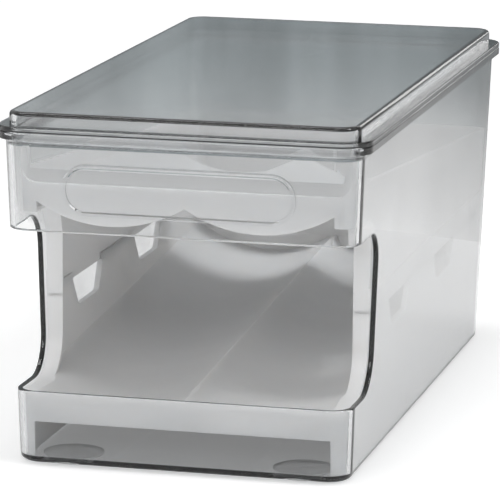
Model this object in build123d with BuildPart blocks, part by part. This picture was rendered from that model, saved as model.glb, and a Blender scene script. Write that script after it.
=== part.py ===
from build123d import *
from math import atan2, cos, degrees, radians, sin, sqrt, tan
import os

# Egg dispenser: a clear bin with a window in its lower front, a clear lid, and
# two white trays. Eggs are put in at the top, roll back down the upper tray,
# drop through its open rear end and roll forward along the lower tray.
# Lengths are in millimetres. +Z is up, the window faces -Y, and the origin is
# the centre of the footprint, on the surface that the bin stands on.

# Bin
bin_width = 147.5            # outside of the wall, at the rim
bin_length = 295.0           # outside of the wall, at the rim
rim_height = 137.5           # top of the rim
wall = 2.2
floor = 2.6
draft = 1.9                  # lean of every bin wall, in degrees
corner_radius = 10.0
base_fillet = 2.5            # around the underside
rim_overhang = 3.0           # how far the rim stands proud of the wall
rim_thickness = 3.2
rim_flare = 2.8              # hollow curve from the wall out to the rim
edge_round = 0.7             # exposed edges of the clear parts

# Window in the lower front, which runs back into both side walls
window_sill = 30.5
window_top = 97.0
window_depth = 45.5          # from the front wall at the rim to the back of the cut
window_radius_top = 14.0
window_radius_sill = 16.0

# Raised grip outline on the front wall above the window
grip_width = 96.0
grip_height = 21.0
grip_radius = 10.0
grip_drop = 22.5             # from the rim down to its middle
grip_bead = 1.8              # width of the bead
grip_proud = 0.9
grip_bevel = 0.5             # along the bead's top edges

# Clear anti-slip pads, set in shallow recesses under the floor
pad_diameter = 24.4
pad_thickness = 1.8
pad_stand = 0.5              # how far a pad stands out below the floor
pad_gap = 0.3
pad_chamfer = 0.3
pad_inset_x = 21.0           # from the foot of a side wall to a pad's centre
pad_inset_y = 15.0           # from the foot of an end wall to a pad's centre

# Lid
lid_rise = 7.6               # from the rim to the top of the lid
lid_flange = 2.1
lid_step = 1.6               # how far the raised top is set in from the bin wall
lid_wall = 2.4
lid_top_thickness = 2.0
lid_top_fillet = 1.8
lid_rib_depth = 5.5          # rib that reaches down inside the bin
lid_gap = 0.6

# Both trays
tray_gap = 0.7               # between a tray and the bin's side and rear walls
tray_corner = 6.0
rail_wall = 2.4              # side rails, front plates and rear walls
trough_wall = 1.8
lane_width = 61.5
trough_radius = 57.0         # underside of a trough
window_gap = 1.5             # from the window's edge back to the trays
joint_height = 61.5          # where the upper tray stands on the lower one
nest_depth = 3.5             # how far the lower tray's tongue reaches up inside
nest_wall = 1.0              # outer part of the upper rail beside the tongue
nest_gap = 0.3
nest_front = -97.0
nest_back = 118.0

# Lower tray
lower_front_gap = 1.8        # from the bin's front wall to the apron
lower_floor = 17.3           # underside of a trough, at the front
lower_slope = 3.5            # rise towards the rear, in degrees
slant_length = 14.0          # cut-off corner at the top rear
slant_drop = 16.5

# Trapezoid notches in the top of the lower tray's side rails
notch_spacing = 96.0
notch_top_length = 45.0
notch_bottom_length = 30.0
notch_depth = 12.0
notch_radius = 4.0

# Upper tray
upper_front_gap = 7.3        # from the bin's front wall to the front plate
upper_floor = 98.8           # underside of a trough, at the front
upper_slope = 4.5            # fall towards the rear, in degrees
drop_length = 64.0           # open rear end, through which the eggs drop
plate_top = 115.5            # top of the front plate between the ears
plate_fillet = 7.0
rail_top = 121.0             # top of the side rails, at the front
ear_top = 130.0
ear_length = 15.0
ear_wall = 2.2
ear_fillet = 4.0
post_foot = 103.0            # lower end of the front plate beside the lanes
chute_radius = 16.0          # curved rear wall that turns the eggs forward
chute_wall = 1.8
step_height = 71.5           # small step around the outside of the rails
step_inset = 0.6

# Places that follow from the sizes above
base_height = pad_stand
floor_top = base_height + floor
lid_top = rim_height + lid_rise
grip_centre = rim_height - grip_drop
window_back = -bin_length / 2 + window_depth
pad_x = bin_width / 2 - (rim_height - base_height) * tan(radians(draft)) - pad_inset_x
pad_y = bin_length / 2 - (rim_height - base_height) * tan(radians(draft)) - pad_inset_y
reach = bin_length           # longer than any cut has to be


def lean(height):
    """How far a drafted wall has drawn in at this height, from its place at the rim."""
    return (rim_height - height) * tan(radians(draft))


def bin_section(height, inset):
    """Level section of the bin at this height, set in from its outside."""
    with BuildSketch(Plane.XY.offset(height)) as section:
        RectangleRounded(
            bin_width - 2 * (lean(height) + inset),
            bin_length - 2 * (lean(height) + inset),
            corner_radius - inset,
        )
    return section.sketch


def rim_section(height, overhang):
    """Level section with upright sides that stands out from the bin's wall at the rim."""
    with BuildSketch(Plane.XY.offset(height)) as section:
        RectangleRounded(
            bin_width + 2 * overhang, bin_length + 2 * overhang, corner_radius + overhang
        )
    return section.sketch


def window_outline(back, sill, top, sill_radius, top_radius):
    """Side view of an opening whose front end lies in front of the bin."""
    with BuildSketch() as outline:
        with Locations((back - reach / 2, (sill + top) / 2)):
            Rectangle(reach, top - sill)
        rear = outline.vertices().group_by(Axis.X)[-1].sort_by(Axis.Y)
        fillet(rear[0], radius=sill_radius)
        fillet(outline.vertices().sort_by_distance((back, top))[0], radius=top_radius)
    return outline.sketch


def tray_face(height, gap):
    """Distance from the centre to a tray's front or rear face at this height."""
    return bin_length / 2 - lean(height) - wall - gap


def tray_side(height):
    """Distance from the centre to a tray's outer side at this height."""
    return bin_width / 2 - lean(height) - wall - tray_gap


def tray_section(height, inset, front_gap):
    """Level section of a tray's outside at this height, set in by an inset."""
    front = inset - tray_face(height, front_gap)
    back = tray_face(height, tray_gap) - inset
    with BuildSketch(Plane.XY.offset(height)) as section:
        with Locations((0, (front + back) / 2)):
            RectangleRounded(
                2 * (tray_side(height) - inset), back - front, tray_corner - inset
            )
    return section.sketch


def tray_block(low, high, inset, front_gap):
    """Solid that fills a tray's outside between two heights."""
    sections = [tray_section(height, inset, front_gap) for height in (low, high)]
    with BuildPart() as block:
        loft(sections, ruled=True)
    return block.part


def lane_arc(radius, low, end):
    """Three points of a trough's arc, from the ridge between the lanes to its outer end."""
    middle = lane_width / 2
    return [
        (x, low + radius - sqrt(radius**2 - (x - middle) ** 2)) for x in (0, middle, end)
    ]


def lanes(front_gap, low, slope, thickness, length):
    """Both troughs from the bin's front rearwards, or with no thickness all that lies below them."""
    start = -bin_length / 2
    low -= (-tray_face(low, front_gap) - start) * tan(radians(slope))
    end = bin_width / 2 if thickness else lane_width
    with BuildPart() as pair:
        with BuildSketch(Plane.XZ.offset(-start)) as section:
            with BuildLine():
                under = lane_arc(trough_radius, low, end)
                ThreePointArc(*under)
                if thickness:
                    over = lane_arc(trough_radius - thickness, low + thickness, end)
                    Line(under[2], over[2])
                    ThreePointArc(*over)
                    Line(over[0], under[0])
                else:
                    Polyline(under[2], (end, 0), (0, 0), under[0])
            make_face()
            mirror(about=Plane.YZ)
        extrude(amount=length, dir=(0, cos(radians(slope)), sin(radians(slope))))
    return pair.part


def trimmed(block, view):
    """The block, cut to this side view."""
    with BuildPart() as piece:
        add(block)
        with BuildSketch(Plane.YZ):
            add(view)
        extrude(amount=reach, both=True, mode=Mode.INTERSECT)
    return piece.part


def lane_space(block):
    """The front half of a block, between the posts beside the lanes."""
    with BuildPart() as space:
        add(block)
        with Locations((0, -reach / 2, 0)):
            Box(2 * lane_width, reach, 2 * reach, mode=Mode.INTERSECT)
    return space.part


# Bin: a drafted tub with a rolled rim, cut open at the lower front
with BuildPart() as tub:
    loft([bin_section(base_height, 0), bin_section(rim_height, 0)], ruled=True)
    fillet(tub.edges().group_by(Axis.Z)[0], radius=base_fillet)
    extrude(rim_section(rim_height - rim_thickness, rim_overhang), amount=rim_thickness)
    ledge = tub.faces().filter_by(Plane.XY).sort_by(Axis.Z)[-2]
    fillet(ledge.inner_wires()[0].edges(), radius=rim_flare)
    rim_face = tub.faces().filter_by(Plane.XY).sort_by(Axis.Z)[-1]
    fillet(rim_face.outer_wire().edges(), radius=edge_round)

    loft([bin_section(floor_top, wall), bin_section(rim_height, wall)], ruled=True, mode=Mode.SUBTRACT)

    with BuildSketch(Plane.YZ):
        add(window_outline(window_back, window_sill, window_top, window_radius_sill, window_radius_top))
    extrude(amount=reach, both=True, mode=Mode.SUBTRACT)
    window_edges = tub.edges(Select.LAST).filter_by(lambda edge: edge.length > 2 * wall)
    fillet(window_edges, radius=edge_round)

    # Grip: a raised bead on the leaning front wall
    grip_y = lean(grip_centre) - bin_length / 2
    front_wall = Plane(
        origin=(0, grip_y, grip_centre),
        x_dir=(1, 0, 0),
        z_dir=(0, -cos(radians(draft)), -sin(radians(draft))),
    )
    with BuildSketch(front_wall):
        RectangleRounded(grip_width, grip_height, grip_radius)
        RectangleRounded(
            grip_width - 2 * grip_bead,
            grip_height - 2 * grip_bead,
            grip_radius - grip_bead,
            mode=Mode.SUBTRACT,
        )
    extrude(amount=grip_proud)
    bead_top = tub.faces(Select.LAST).sort_by(Axis(front_wall.origin, front_wall.z_dir))[-1]
    chamfer(bead_top.edges(), length=grip_bevel)

    # Recesses for the pads
    recess_depth = pad_thickness - pad_stand
    with BuildSketch(Plane.XY.offset(base_height)):
        with GridLocations(2 * pad_x, 2 * pad_y, 2, 2):
            Circle(pad_diameter / 2 + pad_gap)
    extrude(amount=recess_depth, mode=Mode.SUBTRACT)

# Lid: a flange on the rim, a raised top and a rib that keeps it in place
with BuildPart() as lid:
    extrude(rim_section(rim_height, rim_overhang), amount=lid_flange)
    flange_top = lid.faces().sort_by(Axis.Z)[-1]
    fillet(flange_top.outer_wire().edges(), radius=edge_round)
    extrude(rim_section(rim_height, -lid_step), amount=lid_rise)
    fillet(lid.faces().sort_by(Axis.Z)[-1].edges(), radius=lid_top_fillet)
    extrude(rim_section(rim_height - lid_rib_depth, -wall - lid_gap), amount=lid_rib_depth)
    pocket = lid_rib_depth + lid_rise - lid_top_thickness
    extrude(
        rim_section(rim_height - lid_rib_depth, -lid_step - lid_wall),
        amount=pocket,
        mode=Mode.SUBTRACT,
    )

# Lower tray
def lower_view(inset):
    """Side view of the lower tray; its ends and its base are drawn past the tray."""
    slant = degrees(atan2(-slant_drop, slant_length))
    middle = Vector(
        tray_face(joint_height, tray_gap) - slant_length / 2, joint_height - slant_drop / 2
    )
    middle += Vector(sin(radians(slant)), -cos(radians(slant))) * inset
    with BuildSketch() as view:
        Rectangle(2 * reach, 2 * reach)
        add(
            window_outline(
                window_back + window_gap + inset,
                window_sill - window_gap - inset,
                reach,
                window_radius_sill + window_gap + inset,
                window_radius_top,
            ),
            mode=Mode.SUBTRACT,
        )
        with Locations(middle):
            Rectangle(
                reach, reach, rotation=slant, align=(Align.CENTER, Align.MIN), mode=Mode.SUBTRACT
            )
    return view.sketch


nest_middle = (nest_front + nest_back) / 2
lower_outer = trimmed(tray_block(floor_top, joint_height, 0, lower_front_gap), lower_view(0))
lower_inner = tray_block(base_height, joint_height + nest_depth, rail_wall, lower_front_gap)
with BuildPart() as lower_lanes:
    add(lanes(lower_front_gap, lower_floor, lower_slope, trough_wall, 1.1 * bin_length))
    add(lower_outer, mode=Mode.INTERSECT)
with BuildPart() as tongue:
    add(tray_block(joint_height - nest_depth, joint_height + nest_depth, nest_wall + nest_gap, lower_front_gap))
    add(lower_inner, mode=Mode.SUBTRACT)
    with Locations((0, nest_middle, joint_height)):
        Box(bin_width, nest_back - nest_front, 2 * nest_depth, mode=Mode.INTERSECT)
with BuildPart() as lower_tray:
    add(lower_outer)
    add(trimmed(lower_inner, lower_view(rail_wall)), mode=Mode.SUBTRACT)
    add(lane_space(lower_inner), mode=Mode.SUBTRACT)
    with Locations((0, -bin_length / 2, lower_floor - reach / 2)):
        Box(2 * lane_width, window_depth, reach, mode=Mode.SUBTRACT)
    add(lower_lanes.part)
    add(tongue.part)
    with BuildSketch(Plane.YZ) as notches:
        with Locations((-notch_spacing / 2, joint_height), (notch_spacing / 2, joint_height)):
            Polygon(
                (-notch_bottom_length / 2, -notch_depth),
                (notch_bottom_length / 2, -notch_depth),
                (notch_top_length / 2, 0),
                (notch_top_length / 2, 2 * nest_depth),
                (-notch_top_length / 2, 2 * nest_depth),
                (-notch_top_length / 2, 0),
                align=None,
            )
        fillet(notches.vertices().group_by(Axis.Y)[0], radius=notch_radius)
    extrude(amount=reach, both=True, mode=Mode.SUBTRACT)


# Upper tray
def chute_corner(radius):
    """Side view of what lies outside the curved rear corner of the upper tray."""
    centre = (
        tray_face(joint_height + chute_radius, tray_gap) - chute_radius,
        joint_height + chute_radius,
    )
    with BuildSketch() as corner:
        with Locations(centre):
            Rectangle(reach, reach, align=(Align.MIN, Align.MAX))
            Circle(radius, mode=Mode.SUBTRACT)
    return corner.sketch


def upper_view(inset):
    """Side view of the upper tray up to any height."""
    with BuildSketch() as view:
        Rectangle(2 * reach, 2 * reach)
        add(
            window_outline(
                window_back + window_gap + inset,
                -reach,
                post_foot + inset,
                window_radius_sill,
                window_radius_top + window_gap,
            ),
            mode=Mode.SUBTRACT,
        )
        add(chute_corner(chute_radius - inset), mode=Mode.SUBTRACT)
    return view.sketch


upper_front = -tray_face(rail_top, upper_front_gap)
with BuildSketch() as rail_line:
    # all that lies above the rails and behind the ears
    with Locations((upper_front, rail_top)):
        Rectangle(
            2 * reach, reach, rotation=-upper_slope, align=(Align.CENTER, Align.MIN)
        )
    with Locations((upper_front + ear_length, 0)):
        Rectangle(reach, 2 * reach, align=(Align.MAX, Align.CENTER), mode=Mode.SUBTRACT)
    ear_corner = rail_line.vertices().group_by(Axis.X)[0].sort_by(Axis.Y)[0]
    fillet(ear_corner, radius=ear_fillet)

upper_block = tray_block(joint_height, ear_top, step_inset, upper_front_gap)
with BuildPart() as upper_outer:
    add(upper_block)
    add(tray_block(joint_height, step_height, 0, upper_front_gap))
    with BuildSketch(Plane.YZ):
        add(upper_view(0))
        add(rail_line.sketch, mode=Mode.SUBTRACT)
    extrude(amount=reach, both=True, mode=Mode.INTERSECT)
upper_inner = tray_block(base_height, lid_top, rail_wall, upper_front_gap)
with BuildPart() as upper_lanes:
    add(lanes(upper_front_gap, upper_floor, -upper_slope, trough_wall, 1.1 * bin_length))
    add(upper_block, mode=Mode.INTERSECT)
    with Locations((0, tray_face(upper_floor, tray_gap), upper_floor)):
        Box(bin_width, 2 * drop_length, 2 * reach, mode=Mode.SUBTRACT)
ear_face = tray_side(ear_top) - ear_wall
with BuildPart() as plate_cut:
    # the gap between the ears, above the front plate
    with BuildSketch(Plane.XZ.offset(tray_face(rail_top, upper_front_gap) - rail_wall)) as between:
        with Locations((0, plate_top)):
            Rectangle(2 * ear_face, reach, align=(Align.CENTER, Align.MIN))
        fillet(between.vertices().group_by(Axis.Z)[0], radius=plate_fillet)
    extrude(amount=reach)
with BuildPart() as below_lanes:
    add(lanes(upper_front_gap, upper_floor, -upper_slope, 0, window_depth))
    with Locations((0, -reach / 2, 0)):
        Box(2 * lane_width, reach, 2 * reach, mode=Mode.INTERSECT)
with BuildPart() as front_plate:
    add(upper_block)
    add(lane_space(upper_inner), mode=Mode.SUBTRACT)
    with Locations((0, -reach / 2, 0)):
        Box(2 * lane_width, reach, 2 * reach, mode=Mode.INTERSECT)
with BuildPart() as rebate:
    # room for the lower tray's tongue
    add(tray_block(base_height, joint_height + nest_depth + nest_gap, nest_wall, upper_front_gap))
    with Locations((0, nest_middle, joint_height)):
        Box(bin_width, nest_back - nest_front + 2 * nest_gap, reach, mode=Mode.INTERSECT)
with BuildPart() as upper_tray:
    add(upper_outer.part)
    add(trimmed(upper_inner, upper_view(chute_wall)), mode=Mode.SUBTRACT)
    add(lane_space(upper_inner), mode=Mode.SUBTRACT)
    add(front_plate.part)
    add(below_lanes.part, mode=Mode.SUBTRACT)
    add(plate_cut.part, mode=Mode.SUBTRACT)
    add(upper_lanes.part)
    add(rebate.part, mode=Mode.SUBTRACT)
pad_names = ("front_left", "front_right", "rear_left", "rear_right")
pad_places = [(x * pad_x, y * pad_y) for y in (-1, 1) for x in (-1, 1)]

os.makedirs("parts", exist_ok=True)
for name, piece in (
    ("bin", tub),
    ("lid", lid),
    ("lower_tray", lower_tray),
    ("upper_tray", upper_tray),
):
    piece.part.label = name
    export_step(piece.part, f"parts/{name}.step")
for name, place in zip(pad_names, pad_places):
    with BuildPart() as pad:
        with Locations(place):
            Cylinder(pad_diameter / 2, pad_thickness, align=(Align.CENTER, Align.CENTER, Align.MIN))
        chamfer(pad.edges().group_by(Axis.Z)[0], length=pad_chamfer)
    pad.part.label = f"foot_pad_{name}"
    export_step(pad.part, f"parts/foot_pad_{name}.step")
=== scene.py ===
import math

import bpy
from mathutils import Matrix, Vector

# The egg dispenser in a plain studio. Lengths are in metres, in the CAD frame:
# +Z up, the window faces -Y, +X to the right of someone who faces it.

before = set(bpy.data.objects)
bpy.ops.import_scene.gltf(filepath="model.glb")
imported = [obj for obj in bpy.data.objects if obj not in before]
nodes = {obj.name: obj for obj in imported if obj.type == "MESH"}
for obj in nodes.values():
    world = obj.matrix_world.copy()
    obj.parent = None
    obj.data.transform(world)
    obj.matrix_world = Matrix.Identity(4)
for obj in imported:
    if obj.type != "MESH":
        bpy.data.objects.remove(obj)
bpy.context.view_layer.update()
scene = bpy.context.scene

# Camera, fitted to the photograph. It looks at a point near AIM, from AZIMUTH
# to the right of the front and ELEVATION above it, and is turned by ROLL.
PIXELS = 500
SENSOR_MM = 36.0
FOCAL_PIXELS = 3800.0
AZIMUTH = math.radians(13.8696)
ELEVATION = math.radians(11.4241)
ROLL = math.radians(-0.4605)
DISTANCE = 1.652676
AIM = Vector((0.0, 0.0, 0.07))
OFFSET_RIGHT = -0.006391
OFFSET_UP = -0.005483
CLIP_END = 50.0

# Plastics. Colours are linear, and the density is per metre of wall.
CLEAR_TINT = (0.985, 0.987, 0.99)
CLEAR_ABSORBED = (0.62, 0.63, 0.635)
CLEAR_DENSITY = 165.0
CLEAR_IOR = 1.5
CLEAR_TO_LIGHT = (0.95, 0.955, 0.96)
WHITE_LIGHT = (0.90, 0.895, 0.89)
WHITE_DARK = (0.86, 0.855, 0.85)
WHITE_IOR = 1.49
WHITE_GLOW = 0.7
WHITE_GLOW_RADIUS = (1.0, 0.95, 0.9)
WHITE_GLOW_DEPTH = 0.006
PAD_COLOUR = (0.88, 0.885, 0.89)
PAD_ALPHA = 0.3

# Studio
FLOOR_HALF = 6.0
FLOOR_HEIGHT = -0.0004  # just below the pads, so that the two faces don't mix
FLOOR_GREY = (0.93, 0.93, 0.93)
FLOOR_NEAR, FLOOR_FAR = 0.6, 2.5  # from the object out, where the glow grows
FLOOR_GLOW_NEAR, FLOOR_GLOW_FAR = 0.3, 0.95
WORLD_LIGHT = 0.30
WORLD_SEEN = 1.0

# The card behind the object paints reflections: it glows only for glossy and transmission rays,
# and its tones, dark band and streaks stand in for what the clear plastic reflects and shows
# through
BACKDROP_PLACE = 0.35
BACKDROP_HALF = 1.6
BACKDROP_HEIGHT = 0.6
PAINTED_REFLECTION_TONES = (
    # height, and the colour of the card's left part there, a painted reflection
    (0.00, (0.95, 0.95, 0.95)),
    (0.03, (0.72, 0.73, 0.73)),
    (0.09, (0.17, 0.205, 0.215)),
    (0.15, (0.21, 0.24, 0.25)),
    (0.20, (0.36, 0.39, 0.40)),
    (0.60, (0.90, 0.90, 0.90)),
)
LEFT_PART_END, RIGHT_PART_START = 0.03, 0.16  # where one part fades into the other
RIGHT_GREY_LOW, RIGHT_GREY_HIGH = 1.0, 0.42
RIGHT_FADE_HEIGHT = 0.08
STREAK_DARK, STREAK_LIGHT = 0.6, 1.45

STRIP_LEFT, STRIP_RIGHT = 0.11, 0.18
STRIP_LOW = 0.16
STRIP_GLOW = 2.4
STRIP_IN_FRONT = 0.005

LAMPS = (
    # name, place, point it faces, width and height, watts
    ("key", (1.1, -0.2, 1.5), (0.0, 0.0, 0.06), (0.55, 0.55), 11.4),
    ("fill", (-0.4, -1.6, 0.9), (0.0, 0.0, 0.06), (1.2, 0.6), 7.9),
    ("top", (-0.35, -0.1, 1.6), (0.0, 0.0, 0.05), (0.5, 1.6), 10.2),
)

# Sockets of a Mix node that mixes colours
MIX_FACTOR, MIX_A, MIX_B, MIX_RESULT = 0, 6, 7, 2


def add_camera():
    """A camera at the photograph's viewing angle."""
    back = Vector(
        (
            math.sin(AZIMUTH) * math.cos(ELEVATION),
            -math.cos(AZIMUTH) * math.cos(ELEVATION),
            math.sin(ELEVATION),
        )
    )
    right = Vector((math.cos(AZIMUTH), math.sin(AZIMUTH), 0.0))
    up = back.cross(right)
    place = AIM + back * DISTANCE + right * OFFSET_RIGHT + up * OFFSET_UP
    turned_right = math.cos(ROLL) * right - math.sin(ROLL) * up
    turned_up = math.sin(ROLL) * right + math.cos(ROLL) * up
    data = bpy.data.cameras.new("camera")
    data.sensor_width = SENSOR_MM
    data.lens = SENSOR_MM * FOCAL_PIXELS / PIXELS
    data.clip_end = CLIP_END
    camera = bpy.data.objects.new("camera", data)
    camera.matrix_world = Matrix(
        (
            (turned_right.x, turned_up.x, back.x, place.x),
            (turned_right.y, turned_up.y, back.y, place.y),
            (turned_right.z, turned_up.z, back.z, place.z),
            (0.0, 0.0, 0.0, 1.0),
        )
    )
    scene.collection.objects.link(camera)
    scene.camera = camera


class Nodes:
    """The node tree of a material or a world, built with short calls."""

    def __init__(self, owner):
        self.owner = owner
        owner.use_nodes = True
        self.tree = owner.node_tree
        self.tree.nodes.clear()

    def add(self, kind, settings=(), **inputs):
        """A node; each input is a value or another node's output."""
        node = self.tree.nodes.new(kind)
        for name, value in dict(settings).items():
            setattr(node, name, value)
        for name, value in inputs.items():
            self.feed(value, node.inputs[name.replace("_", " ")])
        return node

    def feed(self, value, socket):
        """Gives a socket a value, or links another node's output to it."""
        if isinstance(value, bpy.types.NodeSocket):
            self.tree.links.new(value, socket)
        else:
            socket.default_value = value

    def math(self, operation, first, second):
        """One number from two."""
        node = self.add("ShaderNodeMath", {"operation": operation})
        self.feed(first, node.inputs[0])
        self.feed(second, node.inputs[1])
        return node.outputs[0]

    def place(self):
        """The shaded point, in the object's own frame."""
        return self.add("ShaderNodeTexCoord").outputs["Object"]

    def noise(self, scale, detail=4.0, stretch=(1.0, 1.0, 1.0)):
        """Noise in the object's own frame, in features per metre."""
        scaled = self.add("ShaderNodeMapping", Vector=self.place(), Scale=stretch)
        return self.add(
            "ShaderNodeTexNoise", Vector=scaled.outputs["Vector"], Scale=scale, Detail=detail
        ).outputs["Fac"]

    def spread(self, value, low, high, start=0.3, end=0.7):
        """Maps a value between start and end to a range from low to high."""
        node = self.add("ShaderNodeMapRange", Value=value)
        node.inputs["From Min"].default_value = start
        node.inputs["From Max"].default_value = end
        node.inputs["To Min"].default_value = low
        node.inputs["To Max"].default_value = high
        return node.outputs["Result"]

    def tint(self, value, low, high):
        """Mixes two colours by a value."""
        node = self.add("ShaderNodeMix", {"data_type": "RGBA"})
        self.feed(value, node.inputs[MIX_FACTOR])
        self.feed(low, node.inputs[MIX_A])
        self.feed(high, node.inputs[MIX_B])
        return node.outputs[MIX_RESULT]

    def bump(self, height, strength, distance):
        """Fine relief, distance metres deep."""
        return self.add(
            "ShaderNodeBump", Height=height, Strength=strength, Distance=distance
        ).outputs["Normal"]

    def mix(self, value, first, second):
        """Mixes two shaders by a value."""
        node = self.add("ShaderNodeMixShader")
        self.feed(value, node.inputs[0])
        self.feed(first.outputs[0], node.inputs[1])
        self.feed(second.outputs[0], node.inputs[2])
        return node

    def seen_rays(self):
        """One for the rays that show a surface: straight, in a gloss or through clear plastic."""
        path = self.add("ShaderNodeLightPath")
        seen = path.outputs["Is Camera Ray"]
        for ray in ("Is Glossy Ray", "Is Transmission Ray"):
            seen = self.math("MAXIMUM", seen, path.outputs[ray])
        return seen

    def finish(self, surface, volume=None):
        """Ends a material in this surface shader, and in this volume shader if it has one."""
        output = self.add("ShaderNodeOutputMaterial")
        self.feed(surface.outputs[0], output.inputs["Surface"])
        if volume is not None:
            self.feed(volume.outputs[0], output.inputs["Volume"])
        return self.owner


def opaque(colour):
    """A colour with the alpha that colour sockets want."""
    return (*colour, 1.0)


def clear_plastic():
    """Polished clear polystyrene: fine scratches, a faint flow in the wall, grey in its depth."""
    n = Nodes(bpy.data.materials.new("clear_plastic"))
    scratches = n.noise(scale=900.0, detail=2.0, stretch=(1.0, 0.06, 1.0))
    handling = n.noise(scale=38.0, detail=5.0)
    flow = n.noise(scale=9.0, detail=2.0, stretch=(1.0, 0.5, 1.0))
    scratched = n.spread(scratches, low=0.0, high=0.03, start=0.62, end=0.8)
    handled = n.spread(handling, low=0.012, high=0.05)
    glass = n.add(
        "ShaderNodeBsdfPrincipled",
        Base_Color=opaque(CLEAR_TINT),
        Roughness=n.math("ADD", scratched, handled),
        Normal=n.bump(flow, strength=0.06, distance=0.002),
        IOR=CLEAR_IOR,
        Transmission_Weight=1.0,
    )
    # Shadow and diffuse rays pass straight through, so that the lamps light what is inside
    path = n.add("ShaderNodeLightPath")
    passing = n.math("MAXIMUM", path.outputs["Is Shadow Ray"], path.outputs["Is Diffuse Ray"])
    through = n.add("ShaderNodeBsdfTransparent", Color=opaque(CLEAR_TO_LIGHT))
    depth = n.add(
        "ShaderNodeVolumeAbsorption", Color=opaque(CLEAR_ABSORBED), Density=CLEAR_DENSITY
    )
    return n.finish(n.mix(passing, glass, through), depth)


def white_plastic():
    """Moulded white polypropylene: satin, with a soft glow and fine texture."""
    n = Nodes(bpy.data.materials.new("white_plastic"))
    grain = n.noise(scale=1400.0, detail=3.0)
    waves = n.spread(n.noise(scale=22.0, detail=3.0), low=0.0, high=1.0)
    handling = n.noise(scale=60.0, detail=6.0)
    plastic = n.add(
        "ShaderNodeBsdfPrincipled",
        Base_Color=n.tint(waves, opaque(WHITE_DARK), opaque(WHITE_LIGHT)),
        Roughness=n.spread(handling, low=0.33, high=0.48),
        Normal=n.bump(grain, strength=0.12, distance=0.0002),
        IOR=WHITE_IOR,
        Subsurface_Weight=WHITE_GLOW,
        Subsurface_Radius=WHITE_GLOW_RADIUS,
        Subsurface_Scale=WHITE_GLOW_DEPTH,
    )
    return n.finish(plastic)


def soft_pad():
    """Clear silicone that has gone slightly milky, with a matt skin."""
    n = Nodes(bpy.data.materials.new("clear_pad"))
    skin = n.noise(scale=700.0, detail=3.0)
    pad = n.add(
        "ShaderNodeBsdfPrincipled",
        Base_Color=opaque(PAD_COLOUR),
        Roughness=n.spread(skin, low=0.28, high=0.42),
        Normal=n.bump(skin, strength=0.1, distance=0.0002),
        Alpha=PAD_ALPHA,
    )
    return n.finish(pad)


def dress_pieces():
    """Gives every CAD node its one material."""
    clear = clear_plastic()
    white = white_plastic()
    pad = soft_pad()
    materials = {"bin": clear, "lid": clear, "lower_tray": white, "upper_tray": white}
    for name, piece in nodes.items():
        piece.data.materials.clear()
        piece.data.materials.append(materials.get(name, pad))


def add_sheet(name, corners, material):
    """A flat studio surface, which isn't part of the object."""
    mesh = bpy.data.meshes.new(name)
    mesh.from_pydata(corners, [], [(0, 1, 2, 3)])
    mesh.materials.append(material)
    sheet = bpy.data.objects.new(name, mesh)
    scene.collection.objects.link(sheet)
    return sheet


def add_card(name, left, right, low, place, material):
    """An upright card behind the object that shows only in the clear plastic."""
    top = BACKDROP_HEIGHT
    corners = [(left, place, low), (right, place, low), (right, place, top), (left, place, top)]
    card = add_sheet(name, corners, material)
    card.visible_camera = False
    card.visible_diffuse = False
    card.visible_shadow = False
    return card


def add_painted_reflection_card():
    """A wide glowing card of painted reflection, streaked from top to bottom, whose left part has
    a dark band low down.
    """
    n = Nodes(bpy.data.materials.new("painted_reflection_card"))
    place = n.add("ShaderNodeSeparateXYZ", Vector=n.place())
    up = place.outputs["Z"]
    height_share = n.spread(up, low=0.0, high=1.0, start=0.0, end=BACKDROP_HEIGHT)
    left_part = n.add("ShaderNodeValToRGB", Fac=height_share)
    stops = left_part.color_ramp.elements
    for height, colour in PAINTED_REFLECTION_TONES[1:-1]:
        stops.new(height / BACKDROP_HEIGHT).color = opaque(colour)
    stops[0].color = opaque(PAINTED_REFLECTION_TONES[0][1])
    stops[-1].color = opaque(PAINTED_REFLECTION_TONES[-1][1])
    right_part = n.spread(
        up, low=RIGHT_GREY_LOW, high=RIGHT_GREY_HIGH, start=0.0, end=RIGHT_FADE_HEIGHT
    )
    to_right = n.spread(
        place.outputs["X"], low=0.0, high=1.0, start=LEFT_PART_END, end=RIGHT_PART_START
    )
    # painted reflection: upright streaks in the card's glow
    streaks = n.noise(scale=11.0, detail=6.0, stretch=(1.0, 1.0, 0.12))
    glow = n.add(
        "ShaderNodeEmission",
        Color=n.tint(to_right, left_part.outputs["Color"], right_part),
        Strength=n.spread(streaks, low=STREAK_DARK, high=STREAK_LIGHT, start=0.34, end=0.66),
    )
    half = BACKDROP_HALF
    add_card("painted_reflection_card", -half, half, 0.0, BACKDROP_PLACE, n.finish(glow))


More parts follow.
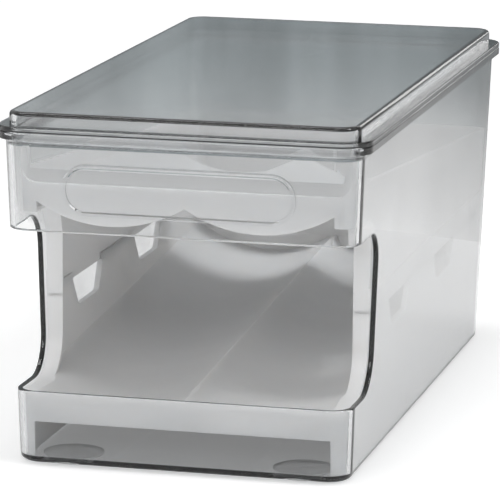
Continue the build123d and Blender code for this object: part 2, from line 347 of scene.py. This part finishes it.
def add_edge_strip():
    """A narrow bright card that draws highlights along the rounded edges."""
    n = Nodes(bpy.data.materials.new("edge_strip"))
    material = n.finish(n.add("ShaderNodeEmission", Strength=STRIP_GLOW))
    place = BACKDROP_PLACE - STRIP_IN_FRONT
    strip = add_card("edge_strip", STRIP_LEFT, STRIP_RIGHT, STRIP_LOW, place, material)
    strip.visible_transmission = False


def add_floor():
    """A wide pale floor that takes the object's shadow, and is white further out."""
    n = Nodes(bpy.data.materials.new("studio_floor"))
    paper = n.add("ShaderNodeBsdfDiffuse", Color=opaque(FLOOR_GREY))
    away = n.add("ShaderNodeVectorMath", {"operation": "LENGTH"}, Vector=n.place())
    growing = n.spread(
        away.outputs["Value"],
        low=FLOOR_GLOW_NEAR,
        high=FLOOR_GLOW_FAR,
        start=FLOOR_NEAR,
        end=FLOOR_FAR,
    )
    glow = n.add("ShaderNodeEmission", Strength=n.math("MULTIPLY", n.seen_rays(), growing))
    both = n.add("ShaderNodeAddShader")
    n.feed(paper.outputs[0], both.inputs[0])
    n.feed(glow.outputs[0], both.inputs[1])
    half = FLOOR_HALF
    outline = ((-half, -half), (half, -half), (half, half), (-half, half))
    add_sheet("floor", [(x, y, FLOOR_HEIGHT) for x, y in outline], n.finish(both))


def add_lamp(name, place, aim, size, watts):
    """A soft rectangular studio lamp."""
    data = bpy.data.lights.new(name, "AREA")
    data.shape = "RECTANGLE"
    data.size, data.size_y = size
    data.energy = watts
    lamp = bpy.data.objects.new(name, data)
    lamp.location = place
    lamp.rotation_euler = (Vector(aim) - Vector(place)).to_track_quat("-Z", "Y").to_euler()
    scene.collection.objects.link(lamp)


def add_world():
    """A white background, with soft grey surroundings for the light on the object."""
    world = bpy.data.worlds.new("studio")
    scene.world = world
    n = Nodes(world)
    white = opaque((1.0, 1.0, 1.0))
    around = n.add("ShaderNodeBackground", Color=white, Strength=WORLD_LIGHT)
    background = n.add("ShaderNodeBackground", Color=white, Strength=WORLD_SEEN)
    output = n.add("ShaderNodeOutputWorld")
    n.feed(n.mix(n.seen_rays(), around, background).outputs[0], output.inputs["Surface"])


dress_pieces()
add_camera()
add_floor()
for lamp in LAMPS:
    add_lamp(*lamp)
add_painted_reflection_card()
add_edge_strip()
add_world()
scene.view_settings.view_transform = "Standard"
